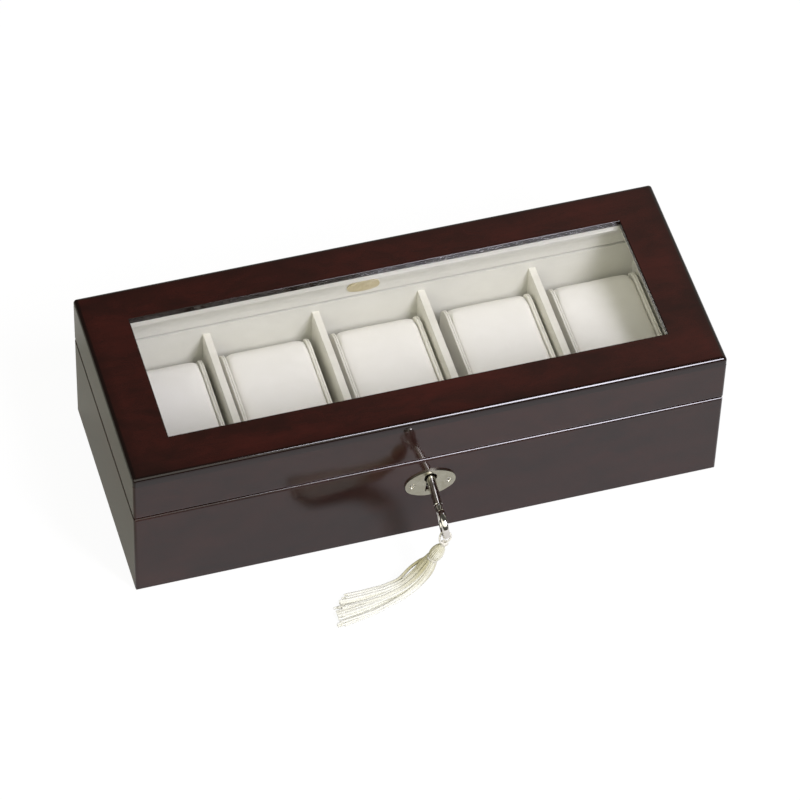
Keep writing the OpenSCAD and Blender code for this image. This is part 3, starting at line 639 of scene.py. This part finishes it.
def swell(piece, cap):
    """Fills a cushion with a little air, and keeps every point within cap of where it was."""
    before = [vertex.co.copy() for vertex in piece.data.vertices]
    cloth = piece.modifiers.new("cloth", "CLOTH")
    settings = cloth.settings
    settings.quality = 6
    settings.mass = 0.2
    settings.tension_stiffness = 25
    settings.compression_stiffness = 25
    settings.shear_stiffness = 10
    settings.bending_stiffness = 2
    settings.use_pressure = True
    settings.uniform_pressure_force = 4
    settings.effector_weights.gravity = 0
    cloth.point_cache.frame_start = 1
    cloth.point_cache.frame_end = 20
    for step in range(1, 21):
        scene.frame_set(step)
    ready = piece.evaluated_get(bpy.context.evaluated_depsgraph_get())
    after = [vertex.co.copy() for vertex in ready.data.vertices]
    piece.modifiers.remove(cloth)
    scene.frame_set(1)
    for vertex, old, new in zip(piece.data.vertices, before, after):
        move = new - old
        if move.length > cap:
            move *= cap / move.length
        vertex.co = old + move


def cuff_pillow(number):
    """A foam block in a suede cover: a crowned middle, a seam and a bound panel at each end."""
    name = "pillow_%d" % number
    body_low, body_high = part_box(name)
    end_low, end_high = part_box("pillow_ends_%d" % number)
    middle = (body_low + body_high) / 2
    half_x = (body_high.x - body_low.x) / 2
    half_y = (body_high.y - body_low.y) / 2
    radius = 0.012
    swell_room = 0.0007
    swell_cap = 0.0011
    voxel = 0.0026
    lump_height = 0.00022
    cloth_thick = 0.0003
    rounding = 0.0012
    chance = random.Random(40 + number)
    # The middle: a wrapped block whose cover turns in at the seams
    slices = 16
    rings = []
    for i in range(slices + 1):
        x = -half_x + 2 * half_x * i / slices
        edge = min(half_x - abs(x), rounding)
        tuck = rounding - math.sqrt(max(0.0, rounding ** 2 - (rounding - edge) ** 2))
        outline = rounded_outline(half_y - swell_room - tuck, body_low.z + swell_room + tuck,
                                  body_high.z - swell_room - tuck, radius - tuck, 7)
        rings.append([(middle.x + x, middle.y + y, z) for y, z in outline])
    cover = new_piece("pillow_cover_%d" % number, all_points(rings),
                      joined_rings(rings), pillow_suede)
    even = cover.modifiers.new("even", "REMESH")
    even.mode = "VOXEL"
    even.voxel_size = voxel
    apply_modifiers(cover)
    swell(cover, swell_cap)
    for vertex in cover.data.vertices:
        lumps = noise.noise(vertex.co * 45 + Vector((number * 5, 0, 0)))
        vertex.co += Vector((0, 0, lump_height * lumps))
        vertex.co.z = max(vertex.co.z, body_low.z)
    for vertex in cover.data.vertices:
        vertex.co += vertex.normal * cloth_thick
    for face in cover.data.polygons:
        face.use_smooth = True
    softer = cover.modifiers.new("soft", "SUBSURF")
    softer.levels = softer.render_levels = 1
    apply_modifiers(cover)
    if not cover.data.materials:
        cover.data.materials.append(pillow_suede)
    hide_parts(name)
    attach(cover, name)
    # The two ends: bound panels a little smaller than the middle, and slightly domed
    parts = []
    faces = []
    for side in (-1, 1):
        inner = side * half_x
        outer = side * (end_high.x - end_low.x) / 2
        thick = abs(outer - inner)
        lean = chance.uniform(-0.0002, 0.0002)
        section = [(0.0, 0.0009), (0.05, 0.0003), (0.14, 0.0), (0.40, 0.0), (0.47, 0.0003),
                   (0.50, 0.0006), (0.53, 0.0003), (0.60, 0.0), (0.84, 0.0), (0.94, 0.0002),
                   (1.0, 0.0006), (1.03, 0.0012), (1.03, 0.0060), (1.03, 0.0110)]
        rings = []
        for share, inset in section:
            outline = rounded_outline(
                (end_high.y - end_low.y) / 2 - inset, end_low.z + inset, end_high.z - inset,
                radius - inset, 8)
            rings.append([(middle.x + inner + side * thick * share * 0.97,
                           middle.y + y, z + lean) for y, z in outline])
        add_rings(parts, faces, rings)
    panels = new_piece("pillow_panels_%d" % number, parts, faces, band_suede)
    crisp(panels, 60)
    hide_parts("pillow_ends_%d" % number)
    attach(panels, name)


for number in range(1, 6):
    cuff_pillow(number)


# The key

lock_x = -0.0008
key_pivot = Vector((lock_x, -0.0653, 0.0448))
key_turned = (Matrix.Translation(key_pivot) @ Matrix.Rotation(math.radians(-3.5), 4, "Z")
              @ Matrix.Rotation(math.radians(4), 4, "X")
              @ Matrix.Rotation(math.radians(-5), 4, "Y"))


def turned_rod(profile, sides=48):
    """Rings of points round -Y, from (distance out, radius) pairs."""
    rings = []
    for out, r in profile:
        rings.append([(r * math.sin(2 * math.pi * k / sides), -out,
                       r * math.cos(2 * math.pi * k / sides)) for k in range(sides)])
    return rings


def cast_key():
    """A plated key: shank with a turned collar, ring bow and bit."""
    profile = [(-5.6, 1.7), (-5.4, 2.1), (-5.0, 2.35), (0, 2.4), (17.9, 2.4), (18.1, 2.35),
               (18.3, 2.2), (18.6, 2.2), (18.8, 2.3), (19.4, 2.3), (20.0, 2.2), (20.8, 2.05),
               (22.2, 1.95), (22.8, 2.0), (23.4, 1.5)]
    rings = turned_rod([(out * mm, r * mm) for out, r in profile])
    points = all_points(rings)
    faces = joined_rings(rings)
    # The bow's bar is a ring in the upright plane through the shank
    bow_middle = -0.030
    bar_across = 0.0018
    bar_deep = 0.0013
    bar_ring = 0.0067
    around = 96
    section = 20
    rings = []
    for i in range(around):
        a = 2 * math.pi * i / around
        ring = []
        for k in range(section):
            b = 2 * math.pi * k / section
            c, s = math.cos(b), math.sin(b)
            across = bar_across * math.copysign(abs(s) ** 0.75, s)
            r = bar_ring + bar_deep * math.copysign(abs(c) ** 0.85, c)
            ring.append((across, bow_middle + r * math.cos(a), r * math.sin(a)))
        rings.append(ring)
    add_rings(points, faces, rings, loop=True)
    # The bit, with two cuts in its lower edge
    bit = [(-9.0, 4.2), (-9.0, 4.55), (-7.6, 4.55), (-7.6, 4.85), (-9.0, 4.85), (-9.0, 5.5),
           (-1.0, 5.5), (-1.0, 4.2)]
    start = len(points)
    bit_half = 0.0011
    for x in (-bit_half, bit_half):
        points += [(x, out * mm, z * mm) for z, out in bit]
    count = len(bit)
    faces.append(tuple(start + k for k in range(count)))
    faces.append(tuple(start + count + k for k in reversed(range(count))))
    for k in range(count):
        n = (k + 1) % count
        faces.append((start + k, start + count + k, start + count + n, start + n))
    piece = new_piece("cast_key", points, faces, key_nickel)
    piece.data.materials.append(shank_nickel)
    shank_end = -0.0170
    for face in piece.data.polygons:
        if shank_end < face.center.y:
            face.material_index = 1
    piece.data.transform(key_turned)
    crisp(piece, 40)
    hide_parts("key")
    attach(piece, "key")


cast_key()


# The plate's two screws

def plate_screws():
    """Domed heads with a sunk cross, each in a narrow dark ring."""
    low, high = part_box("lock_plate_screws")
    radius = (high.z - low.z) / 2
    middle = (low.z + high.z) / 2
    sides = 96
    dome = 0.0005
    cross_half = 0.00046
    cross_deep = 0.0007
    cross_reach = 0.7
    points = []
    faces = []
    profile = [(0.9, 0.004), (0.9, 0.0004), (0.97, 0.0002), (0.92, 0.00006), (0.8, -0.0002),
               (0.66, -0.00036), (0.5, -0.00046), (0.34, -0.0005), (0.18, -0.0005),
               (0.02, -0.0005)]
    for x in (low.x + radius, high.x - radius):
        rings = []
        for share, depth in profile:
            ring = []
            for k in range(sides):
                a = 2 * math.pi * k / sides
                px = radius * share * math.cos(a)
                pz = radius * share * math.sin(a)
                off_cross = min(abs(px + pz), abs(px - pz))
                in_cross = share < cross_reach and off_cross < cross_half
                ring.append((x + px, low.y + dome + depth + (cross_deep if in_cross else 0.0),
                             middle + pz))
            rings.append(ring)
        add_rings(points, faces, rings)
    piece = new_piece("plate_screw_heads", points, faces, screw_nickel)
    crisp(piece, 50)
    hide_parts("lock_plate_screws")
    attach(piece, "base")


plate_screws()


# Thread and strands

def make_strand_tree():
    """Turns curves into twisted threads: a slightly flat section that turns along the line."""
    tree = bpy.data.node_groups.new("twisted_strands", "GeometryNodeTree")
    tree.is_modifier = True
    face = tree.interface
    face.new_socket(name="Geometry", in_out="INPUT", socket_type="NodeSocketGeometry")
    for label, value in (("Radius", 0.0005), ("Turns per metre", 250.0), ("Ply depth", 0.22)):
        socket = face.new_socket(name=label, in_out="INPUT", socket_type="NodeSocketFloat")
        socket.default_value = value
    socket = face.new_socket(name="Sides", in_out="INPUT", socket_type="NodeSocketInt")
    socket.default_value = 8
    face.new_socket(name="Material", in_out="INPUT", socket_type="NodeSocketMaterial")
    face.new_socket(name="Geometry", in_out="OUTPUT", socket_type="NodeSocketGeometry")
    given = tree.nodes.new("NodeGroupInput")
    result = tree.nodes.new("NodeGroupOutput")
    along = put(tree, "GeometryNodeSplineParameter")
    twist = product(tree, along.outputs["Length"],
                    product(tree, given.outputs["Turns per metre"], 2 * math.pi))
    tilted = put(tree, "GeometryNodeSetCurveTilt", {"Curve": given.outputs["Geometry"],
                                                    "Tilt": twist})
    circle = put(tree, "GeometryNodeCurvePrimitiveCircle", {
        "Resolution": given.outputs["Sides"], "Radius": given.outputs["Radius"]})
    spot = put(tree, "GeometryNodeInputPosition")
    parts = put(tree, "ShaderNodeSeparateXYZ", {0: spot.outputs[0]})
    flat = math_node(tree, "SUBTRACT", 1.0, given.outputs["Ply depth"])
    lower = put(tree, "ShaderNodeCombineXYZ", {
        0: parts.outputs[0], 1: product(tree, parts.outputs[1], flat),
        2: parts.outputs[2]})
    plies = put(tree, "GeometryNodeSetPosition", {"Geometry": circle.outputs[0],
                                                  "Position": lower.outputs[0]})
    tube = put(tree, "GeometryNodeCurveToMesh", {"Curve": tilted.outputs[0],
                                                 "Profile Curve": plies.outputs[0],
                                                 "Fill Caps": True})
    real = put(tree, "GeometryNodeRealizeInstances", {"Geometry": tube.outputs[0]})
    finish = put(tree, "GeometryNodeSetMaterial", {"Geometry": real.outputs[0],
                                                   "Material": given.outputs["Material"]})
    tree.links.new(finish.outputs[0], result.inputs[0])
    return tree


strand_tree = make_strand_tree()


def spun(name, lines, radius, material, turns=250.0, sides=8, ply_depth=0.22, shade_and_dye=None):
    """One mesh of twisted threads along the given lines of points."""
    data = bpy.data.curves.new(name, "CURVE")
    data.dimensions = "3D"
    for line in lines:
        spline = data.splines.new("POLY")
        spline.points.add(len(line) - 1)
        for place, point in zip(spline.points, line):
            place.co = (*point, 1)
    source = bpy.data.objects.new(name + "_lines", data)
    scene.collection.objects.link(source)
    modifier = source.modifiers.new("strands", "NODES")
    modifier.node_group = strand_tree
    values = {"Radius": radius, "Turns per metre": turns, "Ply depth": ply_depth,
              "Sides": sides, "Material": material}
    for item in strand_tree.interface.items_tree:
        if item.item_type == "SOCKET" and item.in_out == "INPUT" and item.name in values:
            modifier[item.identifier] = values[item.name]
    ready = source.evaluated_get(bpy.context.evaluated_depsgraph_get())
    mesh = bpy.data.meshes.new_from_object(ready)
    mesh.name = name
    bpy.data.objects.remove(source)
    if not mesh.materials:
        mesh.materials.append(material)
    for face in mesh.polygons:
        face.use_smooth = True
    # Painted shade and random dye for each point of each strand; without them every point gets 0.8
    tint = mesh.attributes.new("painted_shade_and_dye", "FLOAT", "POINT")
    first = 0
    for index, line in enumerate(lines):
        for k in range(len(line) * sides):
            if first + k < len(mesh.vertices):
                tint.data[first + k].value = shade_and_dye[index][k // sides] if shade_and_dye else 0.8
        first += len(line) * sides
    piece = bpy.data.objects.new(name, mesh)
    scene.collection.objects.link(piece)
    return piece


def smooth_line(points, steps):
    """Points of a smooth curve through the given ones."""
    ends = [points[0] * 2 - points[1]] + list(points) + [points[-1] * 2 - points[-2]]
    out = []
    for i in range(1, len(ends) - 2):
        a, b, c, d = ends[i - 1:i + 3]
        for k in range(steps):
            t = k / steps
            out.append(0.5 * ((2 * b) + (c - a) * t + (2 * a - 5 * b + 4 * c - d) * t * t
                              + (3 * b - a - 3 * c + d) * t ** 3))
    out.append(points[-1].copy())
    return out


# The tassel. Its points are measured from the middle of the lock, the key's pivot and the
# ground, as on the frame, in millimetres.

def from_lock(x, y, z):
    """A point of the tassel, in metres."""
    return Vector((lock_x + x * mm, key_pivot.y + y * mm, z * mm))


cord_route = [from_lock(*point) for point in (
    (-4.9, -34.6, 29.6), (-4, -34.6, 31.4), (-3, -34.6, 32.8), (-4.1, -34.6, 33.5),
    (-4.9, -34.7, 34.7), (-5, -34.7, 36.2), (-5, -34.4, 37.8), (-4.3, -33.6, 39.2),
    (-3.3, -33, 39.7), (-2, -32.9, 39.8), (-0.8, -32.9, 39.6), (0.3, -33.3, 39.1),
    (1.1, -34, 37.6), (1.1, -34.2, 36), (0.8, -34.3, 34.7), (-0.1, -34.4, 33.6),
    (-1.2, -34.5, 32.6), (-2.1, -34.5, 31.3), (-3.1, -34.4, 29.8), (-4.2, -34.4, 28),
    (-5.4, -34.2, 26.4), (-6.5, -34, 24.6), (-7.5, -33.7, 22.6), (-8.8, -33.5, 20.4),
    (-10.6, -33.4, 18), (-12.6, -33.5, 15.8), (-15.2, -33.9, 13.6))]


def tassel_cord(with_pieces):
    """The cord's loop through the key's bow, with both ends in the tassel."""
    line = smooth_line(cord_route, 5)
    cord = spun("tassel_cord_twist", [line], cord_radius, cord_silk, 300.0, 12, 0.15)
    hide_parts("tassel_cord")
    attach(cord, "tassel")


head_start = from_lock(-3.2, -34.5, 31)
head_end = from_lock(-8.6, -33.7, 20.5)


def tassel_head():
    """The strands are gathered over the cord's end and tied at the neck."""
    axis = (head_end - head_start).normalized()
    side = axis.cross(Vector((0, 1, 0))).normalized()
    other = axis.cross(side)
    length = (head_end - head_start).length
    profile = [(0.0, 0.6), (0.03, 1.5), (0.08, 2.1), (0.18, 2.8), (0.32, 3.35), (0.48, 3.75),
               (0.62, 3.85), (0.74, 3.65), (0.82, 3.35), (0.88, 3.1), (0.93, 3.05), (1.0, 3.3)]
    sides = 144
    folds = 22
    fold_deep = 0.5
    neck_radius = 3.0
    rings = []
    chance = random.Random(5)
    depths = [chance.uniform(0.5, 1.0) for _ in range(folds)]
    for share, r in profile:
        ring = []
        for k in range(sides):
            a = 2 * math.pi * k / sides
            fold = folds * k / sides
            groove = abs(math.sin(math.pi * fold)) * depths[int(fold) % folds]
            rr = (r - fold_deep * (1 - groove) * min(1.0, r / 2.5)) * mm
            ring.append(head_start + axis * (length * share)
                        + (side * math.cos(a) + other * math.sin(a)) * rr)
        rings.append(ring)
    head = new_piece("tassel_head_wrap", all_points(rings),
                     joined_rings(rings), tassel_silk)
    # Painted shade: the head's side turned away from the lamp at the front right is darker, with
    # some random variation
    tint = head.data.attributes.new("painted_shade_and_dye", "FLOAT", "POINT")
    for vertex in head.data.vertices:
        facing = vertex.normal.dot(Vector((0.55, -0.8, -0.1)))
        tint.data[vertex.index].value = 0.32 + 0.45 * facing + 0.3 * noise.noise(vertex.co * 900)
    neck = []
    turns = 5
    steps = 22
    for k in range(turns * steps + 1):
        a = 2 * math.pi * k / steps
        share = 0.86 + 0.10 * k / (turns * steps)
        neck.append(head_start + axis * (length * share)
                    + (side * math.cos(a) + other * math.sin(a)) * neck_radius * mm)
    binding = spun("tassel_neck_binding", [neck], 0.00026, cord_silk, 500.0, 6, 0.1)
    knot = []
    centre = from_lock(-2.3, -34.5, 32.4)
    for k in range(3 * steps + 1):
        a = 2 * math.pi * k / steps
        knot.append(centre + Vector((1.6 * math.cos(a), 1.3 * math.sin(a),
                                     -1.3 + 2.4 * k / (3 * steps))) * mm)
    tied = spun("tassel_knot", [knot], 0.00060, cord_silk, 300.0, 8, 0.1)
    for piece in (head, binding, tied):
        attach(piece, "tassel")
    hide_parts("tassel_head")
    return [head, binding, tied]


def tassel_skirt():
    """Loose strands that fan out from the neck and lie on the ground. A few stray from the
    rest. The draws that are passed over keep the others' places in the order."""
    spine = [from_lock(*p) for p in ((-8.0, -33.6, 21.6), (-11.2, -35.0, 16.8),
                                     (-16.5, -37.0, 12), (-24, -39.2, 8), (-34.2, -40.5, 5.2),
                                     (-46.7, -41.4, 3.7), (-66.0, -42.4, 2.6))]
    half_width = [2.6, 4.5, 5.3, 5.8, 6.8, 8.8, 11.0]
    half_height = [2.6, 3.0, 2.7, 2.4, 2.1, 1.8, 1.6]
    centre_line = smooth_line(spine, 11)
    last = len(centre_line) - 1
    locks = 30
    strays = 2
    chance = random.Random(11)
    lines = []
    shade_and_dye = []
    strands = 2
    for i in range((locks + strays) * strands):
        if i % strands == 0:
            angle = 2.4 * i / strands
            reach = math.sqrt((i / strands + 0.5) / locks) * 0.9
            lock_across = reach * math.cos(angle)
            lock_over = reach * math.sin(angle)
            bulge = 0.0
            if i >= locks * strands:
                lock_across = 0.98
                lock_over = 0.2
                bulge = chance.uniform(1.7, 2.1)
            lock_stop = last - chance.uniform(0, 3.2) - 2.1 * (1 + lock_across)
            phase = chance.uniform(0, 2 * math.pi)
            sway = chance.uniform(0.3, 1.2)
            drift = chance.uniform(-0.3, 0.3)
            rate = chance.uniform(4, 9)
            chance.random()
        across = lock_across + chance.uniform(-0.09, 0.09)
        over = lock_over + chance.uniform(-0.25, 0.25)
        stop = min(last, lock_stop + chance.uniform(-1.5, 1.5))
        chance.random()
        dye = chance.uniform(-0.2, 0.2)
        line = []
        shades = []
        for k in range(int(stop) + 1):
            t = k / last
            here = centre_line[k]
            before = centre_line[max(0, k - 1)]
            after = centre_line[min(last, k + 1)]
            along = (after - before).normalized()
            out = along.cross(Vector((0, 0, 1))).normalized()
            up = out.cross(along)
            place = t * (len(half_width) - 1)
            low = min(int(place), len(half_width) - 2)
            part = place - low
            wide = half_width[low] * (1 - part) + half_width[low + 1] * part
            tall = half_height[low] * (1 - part) + half_height[low + 1] * part
            wave = sway * t * math.sin(phase + rate * t)
            lifted = bulge * math.sin(math.pi * min(1.0, max(0.0, (t - 0.06) / 0.52))) ** 2
            side = max(-1.0, min(1.0, across + drift * t))
            point = here + out * (side * wide + wave + lifted) * mm
            point += up * (over * tall) * mm
            point.z = max(point.z, strand_radius + 0.0001 + 0.0004 * (1 + over))
            line.append(point)
            # Painted shade with real dye: strands are darker near the neck and on their side
            # towards the box, paler towards their ends, and dye varies at random from strand to
            # strand
            paler = min(1.0, max(0.0, (t - 0.25) / 0.4))
            shades.append(min(1.0, max(0.0, 0.28 + 0.64 * paler - 0.3 * side * (1 - paler)
                                       + dye)))
        lines.append(line)
        shade_and_dye.append(shades)
    skirt = spun("tassel_strands", lines, strand_radius, tassel_silk, 50.0, 12, 0.08, shade_and_dye)
    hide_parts("tassel_skirt")
    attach(skirt, "tassel")
    return skirt


tassel_cord(tassel_head() + [tassel_skirt()])


# Floor, lamps and surroundings

def lay_floor():
    """A pale floor. The camera sees it almost white, and it keeps a soft shadow."""
    material, tree, surface = new_material("pale_floor")
    set_plain(surface, {"Roughness": 0.9, "Specular IOR Level": 0.0})
    glow = put(tree, "ShaderNodeEmission", {"Color": (1, 1, 1, 1), "Strength": 1.04})
    path = put(tree, "ShaderNodeLightPath")
    seen = product(tree, math_node(tree, "MAXIMUM", path.outputs["Is Camera Ray"],
                                   path.outputs["Is Transmission Ray"]), 0.9)
    # Reflections alone see a painted shadow on the floor left of the box, dimmer and a little
    # green, and they don't see its white glow
    along = put(tree, "ShaderNodeSeparateXYZ", {0: put(
        tree, "ShaderNodeTexCoord").outputs["Object"]}).outputs[0]
    reflected_painted_shadow = product(tree, path.outputs["Is Glossy Ray"],
                  spread(tree, along, -0.20, -0.155, 1.0, 0.0))
    tree.links.new(mix_colour(tree, reflected_painted_shadow, (0.86, 0.86, 0.85, 1), (0.47, 0.475, 0.40, 1)),
                   surface.inputs["Base Color"])
    both = put(tree, "ShaderNodeMixShader", {0: seen, 1: surface.outputs[0],
                                             2: glow.outputs[0]})
    tree.links.new(both.outputs[0], tree.nodes["Material Output"].inputs[0])
    half = 4.0
    floor = new_piece("floor", [(-half, -half, 0), (half, -half, 0), (half, half, 0),
                                (-half, half, 0)], [(0, 1, 2, 3)], material)


def hang_lamp(name, place, aim, width, depth, power, colour):
    """A soft rectangular lamp, turned to its aim."""
    data = bpy.data.lights.new(name, "AREA")
    data.shape = "RECTANGLE"
    data.size = width
    data.size_y = depth
    data.energy = power
    data.color = colour
    lamp = bpy.data.objects.new(name, data)
    lamp.location = place
    lamp.rotation_euler = (Vector(aim) - Vector(place)).to_track_quat("-Z", "Y").to_euler()
    scene.collection.objects.link(lamp)


def dim_studio():
    """A dark studio with soft light from all round. The camera sees white behind the floor."""
    world = bpy.data.worlds.new("studio")
    world.use_nodes = True
    tree = world.node_tree
    tree.nodes.clear()
    around = put(tree, "ShaderNodeTexCoord").outputs["Generated"]
    parts = put(tree, "ShaderNodeSeparateXYZ", {0: around})
    x, y, z = parts.outputs[0], parts.outputs[1], parts.outputs[2]
    turn = math_node(tree, "ARCTAN2", x, product(tree, y, -1.0))
    lift = math_node(tree, "ARCSINE", z)
    # A long cream sheet stands in front, from the left round to the front right
    sheet = product(tree, spread(tree, turn, -1.2, -0.8, 0.0, 1.0),
                    spread(tree, turn, 0.35, 0.6, 1.0, 0.0))
    sheet = product(tree, sheet, spread(tree, lift, 0.42, 0.56, 0.0, 1.0))
    sheet = product(tree, sheet, spread(tree, lift, 1.12, 1.25, 1.0, 0.0))
    # Another stands lower at the left
    low_sheet = product(tree, spread(tree, turn, -1.95, -1.6, 0.0, 1.0),
                        spread(tree, turn, -1.1, -0.8, 1.0, 0.0))
    low_sheet = product(tree, low_sheet, spread(tree, lift, 0.2, 0.35, 0.0, 1.0))
    low_sheet = product(tree, low_sheet, spread(tree, lift, 0.9, 1.1, 1.0, 0.0))
    # Some light comes back from the wall behind, on the right
    leaning = math_node(tree, "ADD", product(tree, x, 1.6), product(tree, z, -1.0))
    wall = product(tree, spread(tree, leaning, -0.5, -0.1, 0.0, 0.4),
                   spread(tree, y, 0.1, 0.4, 0.0, 1.0))
    strength = math_node(tree, "ADD", product(tree, sheet, 1.6), wall)
    strength = math_node(tree, "ADD", strength, product(tree, low_sheet, 1.5))
    strength = math_node(tree, "ADD", strength, 0.08)
    path = put(tree, "ShaderNodeLightPath")
    seen = put(tree, "ShaderNodeMix", {0: path.outputs["Is Camera Ray"],
                                       2: strength, 3: 1.0}, data_type="FLOAT")
    tint = mix_colour(tree, path.outputs["Is Camera Ray"], (1.0, 0.985, 0.875, 1),
                      (1, 1, 1, 1))
    sky = put(tree, "ShaderNodeBackground", {"Color": tint, "Strength": seen.outputs[0]})
    output = tree.nodes.new("ShaderNodeOutputWorld")
    tree.links.new(sky.outputs[0], output.inputs[0])
    scene.world = world


lay_floor()
hang_lamp("front_softbox", (0.46, -1.0, 1.35), (0, 0, 0.05), 0.28, 0.95, 22,
          (0.98, 0.965, 1.10))
dim_studio()
scene.view_settings.view_transform = "Standard"
